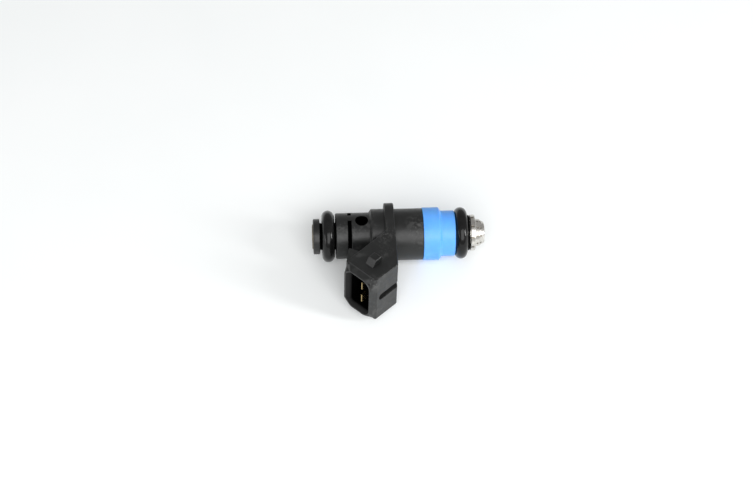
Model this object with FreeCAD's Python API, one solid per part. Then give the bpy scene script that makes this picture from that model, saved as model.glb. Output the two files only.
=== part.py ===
import FreeCAD, Part
import math
import os

# A short top-feed fuel injector, in millimetres, as it lies on a flat surface on the lower edge of its plate
# and one latch lug of its connector. The axis is X, with +X out of the nozzle. The origin is on the axis at
# the centre of the manifold O-ring. +Z is up, and the connector is on the -Y side.

V = FreeCAD.Vector
ORIGIN = V(0, 0, 0)
AXIS = V(1, 0, 0)

# O-rings
ring_od = 14.6
ring_section = 3.5
rail_ring_x = -37.5
ring_seat_r = ring_od / 2 - ring_section

# Overmould: stations along the axis and radii
neck_start_x = -39.85
collar_start_x = -35.35
clip_slot_x = (-32.02, -30.96)
clip_slot_depth = 1.5
clip_slot_bridges = ((0, 2.3), (4.4, 8))
collar_r = 6.47
clip_hole_x = -28.1
clip_hole_r = 1.85
clip_hole_floor = 3.6
shoulder_x = -25.95
shoulder_run = 0.65
shoulder_r = 7.4
plate_back_x = -21.65
plate_front_x = -19.0
plate_half_width = 8.4
plate_corner_r = 5.2
body_r = 7.3
seam_x = -10.85
moulded_edge = 0.3

# Connector: d runs out of the mouth, 45 degrees back from the axis, t runs across, towards the nozzle
connector_turn = 225
block_back_t = (-11.3, -11.75)
block_end_d = 34.9
block_front_root_y = -18.3
block_front_t = -0.9
nose_start_d = 34.55
nose_end_d = 36.45
nose_root = ((-0.95, 8.35, 0.7), (-11.2, 8.35, 0.3), (-11.7, 7.9, 0.3))
nose_tip = ((-1.6, 7.35, 3.1), (-8.9, 7.35, 0.9), (-11.2, 5.3, 1.0))
socket_floor_d = 27.0
socket_throat_d = 35.2
socket_inside = ((-2.2, 6.1, 2.3), (-9.0, 6.1, 0.2), (-9.65, 5.5, 0.2))
socket_mouth = ((-2.1, 7.0, 2.7), (-8.95, 7.0, 0.5), (-10.8, 5.2, 0.5))
key_half_width = 1.9
key_t = -3.2
key_end_d = 34.0
groove_half_width = 1.15
groove_floor_t = -2.0
groove_end_d = 33.6
latch_t = -6.0
latch_half_width = 1.3
latch_height = 1.8
latch_edge_r = 0.35
latch_d = (28.55, 30.7, 32.1)
guide_fin = ((29.9, -11.4), (31.05, -14.5), (35.2, -11.6))

# Terminals
blade_t = -5.8
blade_z = 2.6
blade_width = 2.8
blade_thickness = 0.8
blade_tip_d = 35.2
blade_tip_thickness = 0.3
lead_width = 1.2
lead_thickness = 0.5
lead_x = -22.3
lead_root_y = -4.4

# Fuel path at the inlet
inlet_end_x = -41.95
inlet_lip_x = -41.7
inlet_lip_r = 3.5
cap_r = 5.0
tube_r = 3.2
tube_bore_r = 2.5
filter_rim_x = (-41.6, -40.1)
filter_end_x = (-33.2, -32.4)
filter_r = 1.85
filter_rib_width = 0.5
filter_rib_root = 0.2
screen_r = 1.55
screen_wall = 0.12

# Magnet
pole_top_x = -23.2
tube_end_x = -21.2
pole_end_x = -12.75
pole_bore_r = 1.3
can_x = (-21.8, -8.6)
can_r = 6.3
can_bore_r = 5.6
can_floor = 1.0
washer_thickness = 1.0
washer_notch_half_width = 3.4
bobbin_x = (-20.7, -9.7)
bobbin_bore_r = 3.62
bobbin_core_r = 4.0
bobbin_flange_r = 5.5
bobbin_flange = 0.7
winding_r = 5.25
shell_r = 3.6
shell_end_x = -10.0

# Spring and its adjusting tube
adjuster_x = (-22.6, -17.6)
adjuster_bore_r = 0.75
spring_end_x = -11.55
spring_wire = 0.32
spring_coil_r = 0.95
spring_turns = 8

# Valve
valve_body_r = 3.75
valve_body_end_x = 5.0
valve_nose_r = 3.3
armature_bore_end_x = -7.5
fuel_bore_r = 2.4
seat_bore_r = 2.9
guide_x = 1.2
seat_x = 2.8
armature_gap = 0.2
running_clearance = 0.05
armature_end_x = -7.9
armature_pocket_r = 1.25
stem_r = 1.15
stem_bore_r = 0.7
stem_start_x = -11.4
stem_hole_x = -4.5
stem_hole_r = 0.45
ball_r = 1.5
ball_x = 1.9
seat_clearance = 0.01
seat_drill_r = 0.5
orifice_thickness = 0.2
orifice_hole_r = 0.16
orifice_circle_r = 0.3

# Nozzle end
sleeve_step_x = (-6.3, -5.6)
sleeve_end_x = -1.8
sleeve_r = 7.47
sleeve_neck_r = 6.45
ring_washer_x = (1.85, 2.4)
ring_washer_r = 5.0
nozzle_x = 2.6
nozzle_flange_r = 5.1
nozzle_step_x = 3.95
nozzle_land_r = 3.95
nozzle_edge_x = 5.3
nozzle_end_x = 6.6
nozzle_end_r = 2.95
nozzle_mouth_r = 1.9
stake_count = 10
stake_start_angle = 22
stake_half_width = 0.27
stake_depth = 0.3
stake_rows = ((3.15, 0.45, 5.1), (4.6, 0.27, 3.85), (5.5, 0.25, 3.6))


def rounded_wire(corners):
    """A closed wire in the XY plane through (x, y) or (x, y, radius) corners, rounded by any radius given."""
    points = [V(corner[0], corner[1], 0) for corner in corners]
    radii = [corner[2] if len(corner) > 2 else 0 for corner in corners]
    starts = []
    ends = []
    middles = []
    for i, point in enumerate(points):
        back = (points[i - 1] - point).normalize()
        ahead = (points[(i + 1) % len(points)] - point).normalize()
        half_angle = back.getAngle(ahead) / 2
        reach = radii[i] / math.tan(half_angle)
        inward = (back + ahead).normalize()
        starts.append(point + back * reach)
        ends.append(point + ahead * reach)
        middles.append(point + inward * (radii[i] / math.sin(half_angle) - radii[i]))
    edges = []
    for i in range(len(points)):
        if radii[i]:
            edges.append(Part.Arc(starts[i], middles[i], ends[i]).toShape())
        edges.append(Part.makeLine(ends[i], starts[(i + 1) % len(points)]))
    return Part.Wire(edges)


def turned(*corners):
    """A solid turned about the axis from (x, radius) corners of its half section."""
    return Part.Face(rounded_wire(corners)).revolve(ORIGIN, AXIS, 360)


def tube(x, outer_r, inner_r):
    """A plain ring or tube between two stations on the axis."""
    return turned((x[0], inner_r), (x[0], outer_r), (x[1], outer_r), (x[1], inner_r))


def prism(corners, low, high):
    """A solid of constant section along Z, from (x, y) or (x, y, radius) corners."""
    wire = rounded_wire(corners)
    wire.translate(V(0, 0, low))
    return Part.Face(wire).extrude(V(0, 0, high - low))


def rod(start, direction, length, radius):
    """A round bar."""
    return Part.makeCylinder(radius, length, start, direction)


def box(x, y, z):
    """A block between two corners."""
    return Part.makeBox(x[1] - x[0], y[1] - y[0], z[1] - z[0], V(x[0], y[0], z[0]))


def in_connector(shape):
    """Turns a shape drawn with d along X and t along Y into its place on the injector."""
    shape.rotate(ORIGIN, V(0, 0, 1), connector_turn)
    return shape


def both_sides(shape):
    """A shape and its mirror image across the connector's middle plane."""
    return shape.fuse(shape.mirror(ORIGIN, V(0, 0, 1)))


def place(d, t):
    """The X and Y of a point given in the connector's own directions."""
    return (t - d) / math.sqrt(2), -(t + d) / math.sqrt(2)


def moulded_body():
    """The round outside of the overmould, from the neck under the rail O-ring to the coloured sleeve."""
    return turned(
        (neck_start_x, tube_r),
        (neck_start_x, ring_seat_r, 0.2),
        (collar_start_x, ring_seat_r, 0.3),
        (collar_start_x, collar_r, 0.3),
        (shoulder_x, collar_r, 0.2),
        (shoulder_x + shoulder_run, shoulder_r, 0.25),
        (plate_front_x - 0.5, shoulder_r),
        (plate_front_x - 0.5, body_r),
        (seam_x, body_r, 0.15),
        (seam_x, can_r),
        (can_x[0], can_r),
        (can_x[0], tube_r),
    )


def plate_and_block():
    """The flat plate across the body and the solid block of the connector, before their edges are rounded."""
    flat = prism(
        [
            (plate_back_x, shoulder_r),
            (plate_back_x, plate_back_x - math.sqrt(2) * block_back_t[0], 1.0),
            (*place(block_end_d, block_back_t[1]), 0.6),
            (*place(block_end_d, block_front_t), 0.6),
            (plate_front_x, block_front_root_y, 0.6),
            (plate_front_x, shoulder_r),
        ],
        -plate_half_width,
        plate_half_width,
    )
    reach = 40
    across = prism(
        [
            (-reach, -plate_half_width),
            (shoulder_r, -plate_half_width, plate_corner_r),
            (shoulder_r, plate_half_width, plate_corner_r),
            (-reach, plate_half_width),
        ],
        -reach,
        reach,
    )
    across.rotate(ORIGIN, V(1, 1, 1), 120)
    return flat.common(across)


def rounded_rims(shape):
    """Rounds the outer edges of the plate and block, where their flat sides meet their wide faces."""
    rims = []
    for edge in shape.Edges:
        middle = edge.valueAt((edge.FirstParameter + edge.LastParameter) / 2)
        ends = [vertex.Point for vertex in edge.Vertexes]
        upright = abs(ends[0].z - ends[-1].z) > plate_half_width and middle.y < shoulder_r - 0.01
        if not upright and not is_tangent_line(edge):
            rims.append(edge)
    return shape.makeFillet(moulded_edge, rims)


def is_tangent_line(edge):
    """True for the straight edges along X where the plate's rounded corners run into its flat sides."""
    box_of = edge.BoundBox
    return box_of.YLength < 1e-6 and box_of.ZLength < 1e-6


def latch_lug():
    """A wedge on the block's side that the plug's wire clip snaps over."""
    foot = plate_half_width - 0.5
    top = plate_half_width + latch_height
    back_d, crest_d, toe_d = latch_d
    half = latch_half_width
    side = prism(
        [(back_d, foot), (toe_d, foot), (toe_d, foot + 0.5), (crest_d, top, 0.3), (back_d, top, 0.3)],
        -half,
        half,
    )
    side.rotate(ORIGIN, AXIS, 90)
    across = prism([(-half, foot), (half, foot), (half, top, latch_edge_r), (-half, top, latch_edge_r)], 0, toe_d)
    across.rotate(ORIGIN, V(1, 1, 1), 120)
    lug = side.common(across)
    lug.translate(V(0, latch_t, 0))
    return in_connector(lug)


def guide_rib():
    """The fin on the block's inlet side that guides the plug on."""
    back, crest, toe = guide_fin
    root = 0.5
    corners = [(back[0], back[1] + root), back, (*crest, 0.3), toe, (toe[0], toe[1] + root)]
    half = plate_half_width - moulded_edge / 2
    return in_connector(prism(corners, -half, half))


def section_wire(section, d):
    """A closed outline across the connector, from the (t, z, radius) corners of its upper half."""
    lower = [(t, -z, r) for t, z, r in reversed(section)]
    wire = rounded_wire([*section, *lower])
    wire.rotate(ORIGIN, V(1, 1, 1), 120)
    wire.translate(V(d, 0, 0))
    return wire


def tapered(start, start_d, end, end_d):
    """A bar along d that changes evenly from one section to another."""
    return in_connector(Part.makeLoft([section_wire(start, start_d), section_wire(end, end_d)], True))


def nose():
    """The tapered end of the block round the socket's mouth."""
    return tapered(nose_root, nose_start_d, nose_tip, nose_end_d)


def socket_space():
    """The air inside the socket: a rounded bar that widens at the mouth, less the plug's key."""
    straight = tapered(socket_inside, socket_floor_d, socket_inside, socket_throat_d)
    mouth = tapered(socket_inside, socket_throat_d, socket_mouth, nose_end_d + 0.02)
    key = box((socket_floor_d - 1, key_end_d), (key_t, 0), (-key_half_width, key_half_width))
    return straight.fuse(mouth).cut(in_connector(key))


def front_groove():
    """The channel along the nozzle side of the block, round at its end."""
    half = groove_half_width
    end_r = 0.95 * half
    channel = prism([(20, -half), (groove_end_d, -half, end_r), (groove_end_d, half, end_r), (20, half)],
                    groove_floor_t, 2)
    channel.rotate(ORIGIN, AXIS, -90)
    return in_connector(channel)


def terminal(z):
    """A blade in the socket and its lead, which runs through the plastic to the coil bobbin."""
    half = blade_thickness / 2
    tip_half = blade_tip_thickness / 2
    outline = [
        (socket_floor_d - 2.5, blade_t - half),
        (blade_tip_d - 0.7, blade_t - half),
        (blade_tip_d, blade_t - tip_half),
        (blade_tip_d, blade_t + tip_half),
        (blade_tip_d - 0.7, blade_t + half),
        (socket_floor_d - 2.5, blade_t + half),
    ]
    blade = in_connector(prism(outline, z - blade_width / 2, z + blade_width / 2))
    bend_y = lead_x - math.sqrt(2) * blade_t
    side = math.copysign(1, z)
    lead_z = sorted((side * (abs(z) - lead_width), side * abs(z)))
    lead = box((lead_x - lead_thickness / 2, lead_x + lead_thickness / 2), (bend_y, lead_root_y), lead_z)
    root = box((lead_x, bobbin_x[0]), (lead_root_y - lead_thickness, lead_root_y), lead_z)
    return blade.fuse([lead, root]).removeSplitter()


def clip_slot():
    """The slot for the rail clip, open to both sides and bridged twice on each side of the far end."""
    start, end = clip_slot_x
    lip = 0.12
    slot = turned(
        (start, collar_r - clip_slot_depth, 0.1),
        (start, collar_r - lip),
        (start - lip, collar_r),
        (start - lip, collar_r + 1),
        (end + lip, collar_r + 1),
        (end + lip, collar_r),
        (end, collar_r - lip),
        (end, collar_r - clip_slot_depth, 0.1),
    )
    reach = 2 * collar_r
    return slot.cut([box((start - 1, end + 1), bridge, (-reach, reach)) for bridge in clip_slot_bridges])


def clip_hole():
    """A blind hole from the upper side, for the peg of a rail clip."""
    return rod(V(clip_hole_x, 0, clip_hole_floor), V(0, 0, 1), 2 * collar_r, clip_hole_r)


def overmould_housing():
    """The black outer moulding with its connector, round the inlet tube, the can and the terminals."""
    block = rounded_rims(plate_and_block())
    body = moulded_body().fuse([block, nose(), guide_rib(), both_sides(latch_lug())])
    hollow = tube((neck_start_x, can_x[0]), tube_r, 0).fuse(tube((can_x[0], seam_x), can_r, 0))
    return body.cut([hollow, clip_slot(), both_sides(clip_hole()), socket_space(), front_groove(),
                     terminal(blade_z), terminal(-blade_z)])


def o_ring(x):
    """A rubber ring round the axis."""
    ring = Part.makeTorus(ring_od / 2 - ring_section / 2, ring_section / 2, V(x, 0, 0), AXIS)
    return Part.Solid(ring.Shells[0])


def inlet_cap():
    """The plastic disc that keeps the rail O-ring on."""
    return turned(
        (inlet_lip_x, tube_r),
        (inlet_lip_x, cap_r, 0.35),
        (neck_start_x, cap_r, 0.2),
        (neck_start_x, tube_r),
    )


def inlet_tube():
    """The fuel tube, with a lip turned over the cap."""
    return turned(
        (inlet_end_x, tube_bore_r + 0.15),
        (inlet_end_x, inlet_lip_r, 0.2),
        (inlet_lip_x, inlet_lip_r),
        (inlet_lip_x, tube_r),
        (tube_end_x, tube_r),
        (tube_end_x, tube_bore_r),
        (inlet_end_x + 0.3, tube_bore_r),
    )


def filter_frame():
    """The filter's plastic basket: a rim, an end plug and three ribs let into both."""
    rim = tube(filter_rim_x, tube_bore_r, screen_r - screen_wall)
    plug = tube(filter_end_x, filter_r, 0)
    ribs = []
    for turn in (90, 210, 330):
        rib = box((filter_rim_x[1] - filter_rib_root, filter_end_x[0] + filter_rib_root),
                  (screen_r + 0.05, filter_r + 0.1), (-filter_rib_width / 2, filter_rib_width / 2))
        rib.rotate(ORIGIN, AXIS, turn)
        ribs.append(rib)
    return rim.fuse([plug, *ribs])


def filter_screen():
    """The fine gauze inside the basket's ribs."""
    return tube((filter_rim_x[1], filter_end_x[0]), screen_r, screen_r - screen_wall)


def adjusting_tube():
    """The pressed tube that sets the spring's load."""
    return tube(adjuster_x, pole_bore_r, adjuster_bore_r)


def pole_piece():
    """The fixed magnet core, spigoted into the inlet tube."""
    return turned(
        (pole_top_x, pole_bore_r),
        (pole_top_x, tube_bore_r, 0.2),
        (tube_end_x, tube_bore_r),
        (tube_end_x, tube_r),
        (pole_end_x, tube_r, 0.15),
        (pole_end_x, pole_bore_r),
    )


def return_spring():
    """A closed coil spring between the adjusting tube and the armature's stem."""
    start = adjuster_x[1] + spring_wire / 2
    length = spring_end_x - spring_wire / 2 - start
    path = Part.makeHelix(length / spring_turns, length, spring_coil_r)
    wire = Part.Wire(Part.makeCircle(spring_wire / 2, V(spring_coil_r, 0, 0), V(0, 1, 0)))
    coil = Part.Wire(path.Edges).makePipeShell([wire], True, True)
    coil.rotate(ORIGIN, V(0, 1, 0), 90)
    coil.translate(V(start, 0, 0))
    return coil


def coil_bobbin():
    """The plastic reel that the coil is wound on."""
    start, end = bobbin_x
    return turned(
        (start, bobbin_bore_r),
        (start, bobbin_flange_r),
        (start + bobbin_flange, bobbin_flange_r),
        (start + bobbin_flange, bobbin_core_r),
        (end - bobbin_flange, bobbin_core_r),
        (end - bobbin_flange, bobbin_flange_r),
        (end, bobbin_flange_r),
        (end, bobbin_bore_r),
    )


def coil_winding():
    """The copper wire, as one solid sleeve."""
    return tube((bobbin_x[0] + bobbin_flange, bobbin_x[1] - bobbin_flange), winding_r, bobbin_core_r)


def coil_can():
    """The steel can round the coil, closed at the nozzle end by a flange on the valve body."""
    start, end = can_x
    return turned(
        (start, can_bore_r),
        (start, can_r),
        (end, can_r, 0.3),
        (end, valve_body_r),
        (end - can_floor, valve_body_r),
        (end - can_floor, can_bore_r),
    )


def flux_washer():
    """The steel washer that closes the can at the inlet end, notched for the leads."""
    washer = tube((can_x[0], can_x[0] + washer_thickness), can_bore_r, tube_r)
    notch_edge = lead_root_y + lead_thickness
    half = washer_notch_half_width
    notch = box((can_x[0] - 1, bobbin_x[0]), (-can_r, notch_edge), (-half, half))
    return washer.cut(notch)


def nonmagnetic_shell():
    """The thin stainless tube that joins the pole piece to the valve body."""
    return tube((can_x[0] + washer_thickness, shell_end_x), shell_r, tube_r)


def valve_body():
    """The steel tube that the armature slides in and the seat is fixed in."""
    return turned(
        (shell_end_x, tube_r),
        (shell_end_x, shell_r),
        (bobbin_x[1], shell_r),
        (bobbin_x[1], valve_body_r),
        (nozzle_x, valve_body_r),
        (nozzle_x, valve_nose_r),
        (valve_body_end_x, valve_nose_r),
        (valve_body_end_x, seat_bore_r),
        (guide_x, seat_bore_r),
        (guide_x, fuel_bore_r),
        (armature_bore_end_x, fuel_bore_r),
        (armature_bore_end_x, tube_r),
    )


def armature():
    """The moving iron, with a pocket for the spring and a bore for the stem."""
    start = pole_end_x + armature_gap
    slide_r = tube_r - running_clearance
    return turned(
        (start, armature_pocket_r),
        (start, slide_r, 0.15),
        (armature_end_x, slide_r, 0.2),
        (armature_end_x, stem_r),
        (stem_start_x, stem_r),
        (stem_start_x, armature_pocket_r),
    )


def armature_stem():
    """The hollow stem from armature to ball, with cross holes that let the fuel out."""
    stem = tube((stem_start_x, ball_x), stem_r, stem_bore_r)
    across = 2 * stem_r
    holes = [
        rod(V(stem_hole_x, 0, -across), V(0, 0, 1), 2 * across, stem_hole_r),
        rod(V(stem_hole_x, -across, 0), V(0, 1, 0), 2 * across, stem_hole_r),
    ]
    return stem.cut([*holes, valve_ball()])


def valve_ball():
    """The steel ball that closes the seat."""
    return Part.makeSphere(ball_r, V(ball_x, 0, 0))


def ball_guide():
    """The ring that centres the ball, with flow channels round it."""
    guide = tube((guide_x, seat_x), seat_bore_r, ball_r + running_clearance)
    channels = []
    for turn in range(0, 360, 90):
        channel = rod(V(guide_x - 1, 0, ball_r + 0.35), AXIS, 4, 0.4)
        channel.rotate(ORIGIN, AXIS, turn)
        channels.append(channel)
    return guide.cut(channels)


def valve_seat():
    """The seat, coned at 45 degrees to touch the ball."""
    touch = (ball_r + seat_clearance) * math.sqrt(0.5)
    mouth_r = touch - (seat_x - (ball_x + touch))
    drill_x = ball_x + touch + (touch - seat_drill_r)
    return turned(
        (seat_x, mouth_r),
        (seat_x, seat_bore_r),
        (valve_body_end_x, seat_bore_r),
        (valve_body_end_x, seat_drill_r),
        (drill_x, seat_drill_r),
    )


def orifice_disc():
    """The thin disc with four metering holes."""
    disc = tube((valve_body_end_x, valve_body_end_x + orifice_thickness), valve_nose_r, 0)
    holes = []
    for turn in range(45, 405, 90):
        hole = rod(V(valve_body_end_x - 1, 0, orifice_circle_r), AXIS, 3, orifice_hole_r)
        hole.rotate(ORIGIN, AXIS, turn)
        holes.append(hole)
    return disc.cut(holes)


def stake_marks():
    """Small stakes sunk in all round the nozzle: a row on the flange and two on the cone."""
    marks = []
    for x, half_length, r in stake_rows:
        corner_r = 0.9 * min(half_length, stake_half_width)
        outline = [
            (x - half_length, -stake_half_width, corner_r),
            (x + half_length, -stake_half_width, corner_r),
            (x + half_length, stake_half_width, corner_r),
            (x - half_length, stake_half_width, corner_r),
        ]
        for number in range(stake_count):
            mark = prism(outline, r - stake_depth, r + 1)
            mark.rotate(ORIGIN, AXIS, stake_start_angle + number * 360 / stake_count)
            marks.append(mark)
    return marks


def nozzle_cap():
    """The stepped steel cap on the nose of the valve body, coned towards the spray and staked all round."""
    cap = turned(
        (nozzle_x, valve_nose_r),
        (nozzle_x, nozzle_flange_r, 0.2),
        (nozzle_step_x, nozzle_flange_r, 0.25),
        (nozzle_step_x + 0.2, nozzle_land_r, 0.1),
        (nozzle_edge_x, nozzle_land_r - 0.2, 0.1),
        (nozzle_end_x, nozzle_end_r, 0.25),
        (nozzle_end_x, nozzle_mouth_r),
        (valve_body_end_x + orifice_thickness, nozzle_mouth_r - 0.5),
        (valve_body_end_x + orifice_thickness, valve_nose_r),
    )
    return cap.cut(stake_marks())


def lower_sleeve():
    """The coloured moulding over the valve body, between the overmould and the manifold O-ring."""
    step_start, step_end = sleeve_step_x
    return turned(
        (seam_x, can_r),
        (seam_x, sleeve_r, 0.15),
        (step_start, sleeve_r, 0.3),
        (step_end, sleeve_neck_r, 0.3),
        (sleeve_end_x, sleeve_neck_r, 0.3),
        (sleeve_end_x, valve_body_r),
        (can_x[1], valve_body_r),
        (can_x[1], can_r),
    )


def ring_washer():
    """The black washer that keeps the manifold O-ring on."""
    return turned(
        (ring_washer_x[0], valve_body_r),
        (ring_washer_x[0], ring_washer_r, 0.15),
        (ring_washer_x[1], ring_washer_r, 0.15),
        (ring_washer_x[1], valve_body_r),
    )


def lying_roll():
    """The angle about X that brings the plate's lower edge and the lower latch lug down to one level."""
    corner_y = shoulder_r - plate_corner_r
    corner_z = plate_half_width - plate_corner_r
    across = corner_y - place(latch_d[0], latch_t - latch_half_width)[1]
    down = plate_half_width + latch_height - corner_z
    return math.degrees(math.asin(plate_corner_r / math.hypot(across, down)) - math.atan2(down, across))


def sub_parts():
    """Every separate piece, by its node's name, before the injector is rolled on to its side."""
    return {
        "overmould_housing": overmould_housing(),
        "lower_sleeve": lower_sleeve(),
        "rail_o_ring": o_ring(rail_ring_x),
        "manifold_o_ring": o_ring(0),
        "inlet_cap": inlet_cap(),
        "inlet_tube": inlet_tube(),
        "filter_frame": filter_frame(),
        "filter_screen": filter_screen(),
        "adjusting_tube": adjusting_tube(),
        "pole_piece": pole_piece(),
        "return_spring": return_spring(),
        "coil_bobbin": coil_bobbin(),
        "coil_winding": coil_winding(),
        "coil_can": coil_can(),
        "flux_washer": flux_washer(),
        "nonmagnetic_shell": nonmagnetic_shell(),
        "terminal_upper": terminal(blade_z),
        "terminal_lower": terminal(-blade_z),
        "valve_body": valve_body(),
        "armature": armature(),
        "armature_stem": armature_stem(),
        "valve_ball": valve_ball(),
        "ball_guide": ball_guide(),
        "valve_seat": valve_seat(),
        "orifice_disc": orifice_disc(),
        "nozzle_cap": nozzle_cap(),
        "ring_washer": ring_washer(),
    }


os.makedirs("parts", exist_ok=True)
for node, shape in sub_parts().items():
    shape.rotate(ORIGIN, AXIS, lying_roll())
    shape.exportStep("parts/" + node + ".step")
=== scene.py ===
import functools
import math

import bpy
from mathutils import Matrix, Vector


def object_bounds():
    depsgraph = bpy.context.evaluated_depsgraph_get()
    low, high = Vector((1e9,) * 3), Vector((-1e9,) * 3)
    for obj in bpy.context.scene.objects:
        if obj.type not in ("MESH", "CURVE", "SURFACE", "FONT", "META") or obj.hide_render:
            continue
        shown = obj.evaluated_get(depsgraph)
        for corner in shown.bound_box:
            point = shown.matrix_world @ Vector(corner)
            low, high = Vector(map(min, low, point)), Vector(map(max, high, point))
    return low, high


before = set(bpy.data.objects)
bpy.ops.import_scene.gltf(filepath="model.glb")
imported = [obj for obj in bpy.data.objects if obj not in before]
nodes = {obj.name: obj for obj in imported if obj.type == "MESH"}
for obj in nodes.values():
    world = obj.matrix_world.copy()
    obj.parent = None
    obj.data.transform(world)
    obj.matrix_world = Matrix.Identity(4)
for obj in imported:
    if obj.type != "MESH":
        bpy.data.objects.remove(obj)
cad_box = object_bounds()

MM = 0.001
LOW, HIGH = cad_box
CENTRE = (LOW + HIGH) / 2

# The view: a long lens, from above the connector's side, slightly turned and rolled.
IMAGE_WIDTH = 753
FOCAL_PIXELS = 1780
SENSOR = 36.0
AIM = Vector((-23.83, -2.73, -3.45)) * MM
DISTANCE = 504.7 * MM
AZIMUTH = math.radians(-5.2)
ELEVATION = math.radians(54.76)
ROLL = math.radians(2.69)

# The injector lies rolled by this much about X. ACROSS and OUT are the connector's own directions: across
# its width towards the nozzle, and out of its mouth. WIDE is square to both.
LYING = math.radians(-5.875)
TURN = Matrix.Rotation(LYING, 3, "X")
ACROSS = TURN @ Vector((1, -1, 0)).normalized()
OUT = TURN @ Vector((-1, -1, 0)).normalized()
WIDE = TURN @ Vector((0, 0, 1))
AXIS = Vector((1, 0, 0))

# Recesses round the axis that get painted shade, in mm: from, to, and the radius that they lie within.
# First the clip slot with the clip holes and the neck under the O-ring, then the three rows of stakes in the
# nozzle.
SHADE_PAINTED_RECESSES = ((-34.5, -26.05, 6.33), (-39.9, -35.5, 3.95))
SHADE_PAINTED_STAKE_BOTTOMS = ((2.68, 3.65, 4.95), (4.3, 4.9, 3.75), (5.2, 5.78, 3.42))

# Spaces in the connector that get painted shade, in mm along OUT, ACROSS and WIDE: the socket, whose painted
# shade grows darker from its mouth inwards over the fade span below, and the groove in the connector's side.
SHADE_PAINTED_SOCKET_SPACE = ((26.5, 36.35), (-10.75, -2.15), (-6.95, 6.95))
SOCKET_SHADE_FADE = (34.9, 35.75)
SHADE_PAINTED_GROOVE_SPACE = ((20.0, 34.0), (-2.1, -1.05), (-1.3, 1.3))

# Painted shade: the near-black colour given to recesses, socket and groove in place of their shadow.
PAINTED_SHADE_BLACK = (0.002, 0.002, 0.002)
SCUFF_GREY = (0.12, 0.12, 0.118)
SCUFF_SHARE = 0.42
WAVE_FACTOR = 20  # the wave texture multiplies its coordinate by this
FLOOR_HALF_SIDE = 1.5  # metres
FLOOR_GLOW = 0.08
ROOM_LIGHT = 0.41

# Places on the black moulding that handling has scuffed: a point in mm and how far the scuffs reach.
HANDLED = (
    ((-25.0, -23.0, 8.0), 4.0),
    ((-23.0, -22.0, -4.0), 6.0),
    ((-21.0, -20.5, 3.5), 5.0),
    ((-12.5, -1.5, 7.1), 4.0),
    ((-12.0, -5.5, 4.6), 3.0),
    ((-33.5, -1.5, 6.2), 2.5),
    ((-21.0, -6.0, 8.5), 3.5),
)


def make_camera():
    """The camera, looking at AIM from its azimuth and elevation, rolled about its own view line."""
    level = math.cos(ELEVATION)
    back = Vector((math.sin(AZIMUTH) * level, -math.cos(AZIMUTH) * level, math.sin(ELEVATION)))
    data = bpy.data.cameras.new("camera")
    data.sensor_width = SENSOR
    data.lens = FOCAL_PIXELS * SENSOR / IMAGE_WIDTH
    data.clip_start = 0.01
    camera = bpy.data.objects.new("camera", data)
    bpy.context.scene.collection.objects.link(camera)
    turn = (-back).to_track_quat("-Z", "Y").to_matrix().to_4x4()
    camera.matrix_world = Matrix.Translation(AIM + back * DISTANCE) @ turn @ Matrix.Rotation(ROLL, 4, "Z")
    bpy.context.scene.camera = camera


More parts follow.
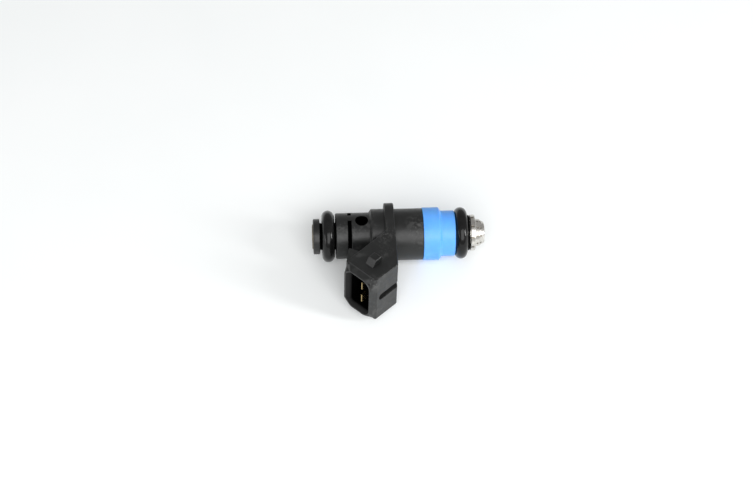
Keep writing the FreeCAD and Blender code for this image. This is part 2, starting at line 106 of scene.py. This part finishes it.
class Shade:
    """A material with one Principled shader, and short calls that add nodes in front of it."""

    def __init__(self, name, colour, roughness, metallic=0.0):
        self.material = bpy.data.materials.new(name)
        self.material.use_nodes = True
        self.tree = self.material.node_tree
        self.shader = self.tree.nodes["Principled BSDF"]
        self.set(self.shader, "Base Color", colour)
        self.set(self.shader, "Roughness", roughness)
        self.set(self.shader, "Metallic", metallic)
        self.place = self.tree.nodes.new("ShaderNodeTexCoord").outputs["Object"]

    def set(self, node, name, value):
        """Links an output to an input, or sets the input's own value."""
        if isinstance(value, bpy.types.NodeSocket):
            self.tree.links.new(value, node.inputs[name])
        elif isinstance(value, tuple) and len(value) == 3 and node.inputs[name].type == "RGBA":
            node.inputs[name].default_value = (*value, 1)
        else:
            node.inputs[name].default_value = value

    def principled(self, **values):
        for name, value in values.items():
            self.set(self.shader, name.replace("_", " "), value)

    def noise(self, size_mm, detail=3.0, stretch=(1, 1, 1)):
        """A noise whose features are about size_mm across."""
        scaled = self.tree.nodes.new("ShaderNodeMapping")
        self.set(scaled, "Vector", self.place)
        self.set(scaled, "Scale", tuple(axis / (size_mm * MM) for axis in stretch))
        node = self.tree.nodes.new("ShaderNodeTexNoise")
        self.set(node, "Vector", scaled.outputs["Vector"])
        self.set(node, "Scale", 1.0)
        self.set(node, "Detail", detail)
        return node.outputs["Fac"]

    def ramp(self, value, *stops):
        """A colour ramp from (position, grey or colour) stops."""
        node = self.tree.nodes.new("ShaderNodeValToRGB")
        self.set(node, "Fac", value)
        elements = node.color_ramp.elements
        while len(elements) < len(stops):
            elements.new(0.5)
        for element, (position, colour) in zip(elements, stops):
            element.position = position
            shade = colour if isinstance(colour, tuple) else (colour,) * 3
            element.color = (*shade, 1)
        return node.outputs["Color"]

    def mix(self, factor, low, high):
        """low where the factor is 0 and high where it is 1."""
        node = self.tree.nodes.new("ShaderNodeMix")
        node.data_type = "RGBA"
        for index, value in ((0, factor), (6, low), (7, high)):
            if isinstance(value, bpy.types.NodeSocket):
                self.tree.links.new(value, node.inputs[index])
            else:
                node.inputs[index].default_value = value if index == 0 else (*value, 1)
        return node.outputs[2]

    def near(self, centre_mm, radius_mm):
        """1 at a point, falling evenly to 0 at the radius."""
        node = self.tree.nodes.new("ShaderNodeVectorMath")
        node.operation = "DISTANCE"
        self.set(node, 0, self.place)
        self.set(node, 1, tuple(value * MM for value in centre_mm))
        return self.ramp(self.math("DIVIDE", node.outputs["Value"], radius_mm * MM), (0.0, 1.0), (1.0, 0.0))

    def along(self, direction):
        """The distance along a direction."""
        node = self.tree.nodes.new("ShaderNodeVectorMath")
        node.operation = "DOT_PRODUCT"
        self.set(node, 0, self.place)
        self.set(node, 1, tuple(direction))
        return node.outputs["Value"]

    def between(self, direction, low_mm, high_mm):
        """1 where the distance along a direction lies between two values, and 0 elsewhere."""
        distance = self.along(direction)
        above = self.math("GREATER_THAN", distance, low_mm * MM)
        return self.math("MULTIPLY", above, self.math("LESS_THAN", distance, high_mm * MM))

    def fading(self, direction, start_mm, end_mm):
        """1 up to the start along a direction, falling evenly to 0 at the end."""
        past = self.math("SUBTRACT", self.along(direction), start_mm * MM)
        return self.ramp(self.math("DIVIDE", past, (end_mm - start_mm) * MM), (0.0, 1.0), (1.0, 0.0))

    def within_radius(self, radius_mm):
        """1 nearer to the X axis than the radius, and 0 elsewhere."""
        flat = self.tree.nodes.new("ShaderNodeVectorMath")
        flat.operation = "MULTIPLY"
        self.set(flat, 0, self.place)
        self.set(flat, 1, (0, 1, 1))
        node = self.tree.nodes.new("ShaderNodeVectorMath")
        node.operation = "LENGTH"
        self.set(node, 0, flat.outputs["Vector"])
        return self.math("LESS_THAN", node.outputs["Value"], radius_mm * MM)

    def every(self, *masks):
        """1 where all the masks are 1."""
        return functools.reduce(lambda first, second: self.math("MULTIPLY", first, second), masks)

    def any(self, *masks):
        """1 where at least one of the masks is 1."""
        return functools.reduce(lambda first, second: self.math("MAXIMUM", first, second), masks)

    def round_axis(self, recesses):
        """1 inside any of the recesses round the X axis."""
        return self.any(*(
            self.every(self.between(AXIS, low, high), self.within_radius(radius))
            for low, high, radius in recesses
        ))

    def in_connector(self, space):
        """1 inside a space that is given along the connector's own directions."""
        return self.every(*(self.between(way, *span) for way, span in zip((OUT, ACROSS, WIDE), space)))

    def waves(self, period_mm, direction="X"):
        """Even ridges square to an axis."""
        node = self.tree.nodes.new("ShaderNodeTexWave")
        node.wave_type = "BANDS"
        node.bands_direction = direction
        self.set(node, "Vector", self.place)
        self.set(node, "Scale", 2 * math.pi / (WAVE_FACTOR * period_mm * MM))
        return node.outputs["Fac"]

    def math(self, kind, first, second=0.0):
        node = self.tree.nodes.new("ShaderNodeMath")
        node.operation = kind
        for index, value in ((0, first), (1, second)):
            if isinstance(value, bpy.types.NodeSocket):
                self.tree.links.new(value, node.inputs[index])
            else:
                node.inputs[index].default_value = value
        return node.outputs[0]

    def bump(self, height, depth_mm, after=None):
        """A bump of that depth, laid over an earlier one."""
        node = self.tree.nodes.new("ShaderNodeBump")
        self.set(node, "Height", height)
        self.set(node, "Distance", depth_mm * MM)
        if after is not None:
            self.set(node, "Normal", after)
        return node.outputs["Normal"]


def black_plastic():
    """Glass-filled nylon: near black, faintly mottled, with a fine moulded grain and light scuffs.

    Its recesses get painted shade and give almost nothing back: a black metal colour takes their gloss away.
    """
    shade = Shade("black_plastic", (0.007, 0.007, 0.0075), 0.34)
    mottle = shade.noise(2.4, 4)
    colour = shade.ramp(mottle, (0.3, (0.004, 0.0043, 0.004)), (0.7, (0.008, 0.0085, 0.0085)))
    scuffs = shade.ramp(shade.noise(0.5, 4, (1, 1, 0.4)), (0.56, 0.0), (0.63, 1.0))
    rubbed = shade.ramp(shade.noise(1.5, 3), (0.5, 0.0), (0.62, 0.8))
    patches = shade.ramp(shade.noise(5.0, 2), (0.5, 0.0), (0.62, 0.5))
    for centre, radius in HANDLED:
        patches = shade.math("ADD", patches, shade.near(centre, radius))
    worn = shade.math("MULTIPLY", shade.math("MULTIPLY", shade.any(scuffs, rubbed), patches), SCUFF_SHARE)
    colour = shade.mix(worn, colour, SCUFF_GREY)
    rough = shade.ramp(shade.noise(1.2, 5), (0.25, 0.36), (0.75, 0.48))
    rough = shade.math("ADD", rough, shade.math("MULTIPLY", worn, 0.5))
    # Painted shade: the recesses, the socket and the groove turn black and rough, and the deep ones lose
    # their gloss.
    shaded_recess_mask, shaded_socket_mask = shade.round_axis(SHADE_PAINTED_RECESSES), shade.in_connector(SHADE_PAINTED_SOCKET_SPACE)
    painted_shade_mask = shade.any(shaded_recess_mask, shaded_socket_mask, shade.in_connector(SHADE_PAINTED_GROOVE_SPACE))
    shade.principled(Base_Color=shade.mix(painted_shade_mask, colour, PAINTED_SHADE_BLACK))
    shade.principled(Roughness=shade.any(rough, shade.math("MULTIPLY", painted_shade_mask, 0.9)))
    shade.principled(Metallic=shade.any(shaded_recess_mask, shade.every(shaded_socket_mask, shade.fading(OUT, *SOCKET_SHADE_FADE))))
    grain = shade.bump(shade.noise(0.16, 3), 0.012)
    shade.principled(Normal=shade.bump(shade.noise(1.6, 2), 0.03, grain))
    return shade.material


def blue_plastic():
    """Pale azure plastic, satin, a little translucent, with a faint flow pattern."""
    shade = Shade("blue_plastic", (0.12, 0.42, 0.98), 0.4)
    flow = shade.noise(3.0, 3, (1, 0.5, 0.5))
    shade.principled(Base_Color=shade.ramp(flow, (0.3, (0.10, 0.37, 0.94)), (0.7, (0.125, 0.42, 0.985))))
    shade.principled(Roughness=shade.ramp(shade.noise(0.8, 4), (0.3, 0.34), (0.7, 0.46)))
    shade.principled(Subsurface_Weight=0.35, Subsurface_Scale=1.0 * MM)
    shade.principled(Normal=shade.bump(shade.noise(0.2, 3), 0.008))
    return shade.material


def rubber():
    """Black nitrile rubber with a thin oily sheen and lint-fine pitting."""
    shade = Shade("rubber", (0.009, 0.009, 0.01), 0.3)
    shade.principled(Base_Color=shade.ramp(shade.noise(1.5, 3), (0.3, 0.004), (0.7, 0.008)))
    shade.principled(Roughness=shade.ramp(shade.noise(2.5, 3), (0.3, 0.15), (0.7, 0.19)))
    shade.principled(Specular_IOR_Level=0.26)
    shade.principled(Normal=shade.bump(shade.noise(0.12, 3), 0.002))
    return shade.material


def black_washer():
    """A black washer, made blacker and without gloss as painted shade in the gap behind the O-ring."""
    shade = Shade("black_washer", (0.002, 0.002, 0.002), 0.8, 0.85)
    shade.principled(Base_Color=shade.ramp(shade.noise(0.9, 4), (0.3, 0.001), (0.7, 0.003)))
    shade.principled(Normal=shade.bump(shade.noise(0.14, 3), 0.006))
    return shade.material


def turned_steel(name, colour, roughness, pitch_mm=0.09, depth_mm=0.006):
    """Metal with fine turning lines round the axis and small stains."""
    shade = Shade(name, colour, roughness, 1.0)
    lines = shade.noise(pitch_mm, 2, (1, 0.02, 0.02))
    stains = shade.noise(1.1, 5)
    dark = tuple(channel * 0.72 for channel in colour)
    shade.principled(Base_Color=shade.ramp(stains, (0.35, dark), (0.6, colour)))
    shade.principled(Roughness=shade.ramp(stains, (0.3, roughness + 0.12), (0.7, roughness)))
    shade.principled(Normal=shade.bump(lines, depth_mm))
    return shade.material


def staked_steel():
    """The nozzle's steel, with painted shade in the bottoms of its stakes."""
    shade = Shade("staked_steel", (0.66, 0.64, 0.6), 0.2, 1.0)
    stains = shade.noise(1.1, 5)
    shaded_stake_mask = shade.round_axis(SHADE_PAINTED_STAKE_BOTTOMS)
    colour = shade.ramp(stains, (0.35, (0.5, 0.48, 0.45)), (0.6, (0.68, 0.66, 0.62)))
    # Painted shade: the stake bottoms are coloured dark brown.
    shade.principled(Base_Color=shade.mix(shaded_stake_mask, colour, (0.24, 0.22, 0.19)))
    shade.principled(Roughness=shade.ramp(stains, (0.3, 0.32), (0.7, 0.2)))
    shade.principled(Normal=shade.bump(shade.noise(0.12, 2, (1, 0.02, 0.02)), 0.0015))
    return shade.material


def wound_copper():
    """Enamelled wire lying turn by turn on the bobbin."""
    shade = Shade("copper", (0.72, 0.3, 0.14), 0.3, 1.0)
    turns = shade.waves(0.25)
    # Painted shade: the base colour darkens into the creases between turns.
    shade.principled(Base_Color=shade.ramp(turns, (0.0, (0.3, 0.1, 0.04)), (0.5, (0.74, 0.32, 0.15))))
    shade.principled(Roughness=shade.ramp(shade.noise(0.8, 3), (0.3, 0.24), (0.7, 0.36)))
    shade.principled(Normal=shade.bump(turns, 0.06))
    return shade.material


def woven_gauze():
    """Fine steel gauze: ridges square to X and to Z stand for its wires."""
    shade = Shade("steel_mesh", (0.55, 0.55, 0.55), 0.35, 1.0)
    weave = shade.any(shade.waves(0.16), shade.waves(0.16, "Z"))
    # Painted shade: the colour goes dark in the gaps between the wires.
    shade.principled(Base_Color=shade.ramp(weave, (0.4, 0.08), (0.8, 0.6)))
    shade.principled(Normal=shade.bump(weave, 0.03))
    return shade.material


def plain_plastic(name, colour):
    """Moulded plastic with a soft mottle and fine grain."""
    shade = Shade(name, colour, 0.45)
    dark = tuple(channel * 0.85 for channel in colour)
    shade.principled(Base_Color=shade.ramp(shade.noise(1.4, 4), (0.3, dark), (0.7, colour)))
    shade.principled(Normal=shade.bump(shade.noise(0.14, 3), 0.008))
    return shade.material


def assign(material, *names):
    """Gives CAD nodes their material."""
    for name in names:
        mesh = nodes[name].data
        mesh.materials.clear()
        mesh.materials.append(material)


def dress_cad_nodes():
    steel = turned_steel("steel", (0.66, 0.64, 0.6), 0.2, 0.12, 0.0015)
    iron = turned_steel("soft_iron", (0.42, 0.42, 0.44), 0.4)
    gold = turned_steel("terminal_metal", (0.5, 0.37, 0.17), 0.18)
    natural = plain_plastic("natural_plastic", (0.55, 0.48, 0.33))
    assign(black_plastic(), "overmould_housing", "inlet_cap")
    assign(blue_plastic(), "lower_sleeve")
    assign(rubber(), "rail_o_ring", "manifold_o_ring")
    assign(black_washer(), "ring_washer")
    assign(staked_steel(), "nozzle_cap")
    assign(steel, "valve_body", "nonmagnetic_shell", "ball_guide", "valve_seat", "orifice_disc",
           "armature_stem", "adjusting_tube")
    assign(iron, "pole_piece", "armature", "coil_can", "flux_washer")
    assign(turned_steel("ball_steel", (0.75, 0.75, 0.77), 0.08, 0.4), "valve_ball")
    assign(turned_steel("inlet_metal", (0.2, 0.18, 0.14), 0.5), "inlet_tube")
    assign(gold, "terminal_upper", "terminal_lower")
    assign(wound_copper(), "coil_winding")
    assign(turned_steel("spring_steel", (0.4, 0.4, 0.42), 0.3), "return_spring")
    assign(woven_gauze(), "filter_screen")
    assign(natural, "filter_frame", "coil_bobbin")


def make_floor():
    """A plain white sheet that the injector lies on, with a faint even glow, like a light table."""
    shade = Shade("floor_white", (0.88, 0.9, 0.9), 0.6)
    tone = shade.ramp(shade.noise(40, 2), (0.3, (0.85, 0.873, 0.873)), (0.7, (0.87, 0.89, 0.89)))
    shade.principled(Base_Color=tone, Emission_Color=(1, 1, 1), Emission_Strength=FLOOR_GLOW)
    half = FLOOR_HALF_SIDE
    mesh = bpy.data.meshes.new("floor")
    corners = [(-half, -half), (half, -half), (half, half), (-half, half)]
    mesh.from_pydata([(x, y, LOW.z) for x, y in corners], [], [(0, 1, 2, 3)])
    mesh.materials.append(shade.material)
    floor = bpy.data.objects.new("floor", mesh)
    bpy.context.scene.collection.objects.link(floor)


def soft_light(name, azimuth, elevation, distance, width, height, radiance):
    """A soft box in a direction from the object, seen from it as an even panel of that radiance.

    The angles are in degrees, from the -Y side and from the floor, and the lengths in metres.
    """
    azimuth, elevation = math.radians(azimuth), math.radians(elevation)
    level = math.cos(elevation)
    toward = Vector((math.sin(azimuth) * level, -math.cos(azimuth) * level, math.sin(elevation)))
    data = bpy.data.lights.new(name, "AREA")
    data.shape = "RECTANGLE"
    data.size = width
    data.size_y = height
    data.energy = math.pi * width * height * radiance
    light = bpy.data.objects.new(name, data)
    light.location = CENTRE + toward * distance
    light.rotation_mode = "QUATERNION"
    light.rotation_quaternion = (-toward).to_track_quat("-Z", "Y")
    bpy.context.scene.collection.objects.link(light)


def make_light():
    """A broad box near the camera, a small bright lamp to the right, a card to the left and a dim room."""
    world = bpy.data.worlds.new("world")
    world.use_nodes = True
    world.node_tree.nodes["Background"].inputs["Color"].default_value = (1, 1, 1, 1)
    world.node_tree.nodes["Background"].inputs["Strength"].default_value = ROOM_LIGHT
    bpy.context.scene.world = world
    soft_light("front_box", 4, 45, 0.75, 0.72, 0.64, 3.45)
    soft_light("right_lamp", 70, 26, 0.7, 0.1, 0.36, 22.0)
    soft_light("left_card", -70, 12, 0.7, 0.42, 0.22, 2.9)
    bpy.context.scene.view_settings.view_transform = "Standard"


make_camera()
make_light()
make_floor()
dress_cad_nodes()
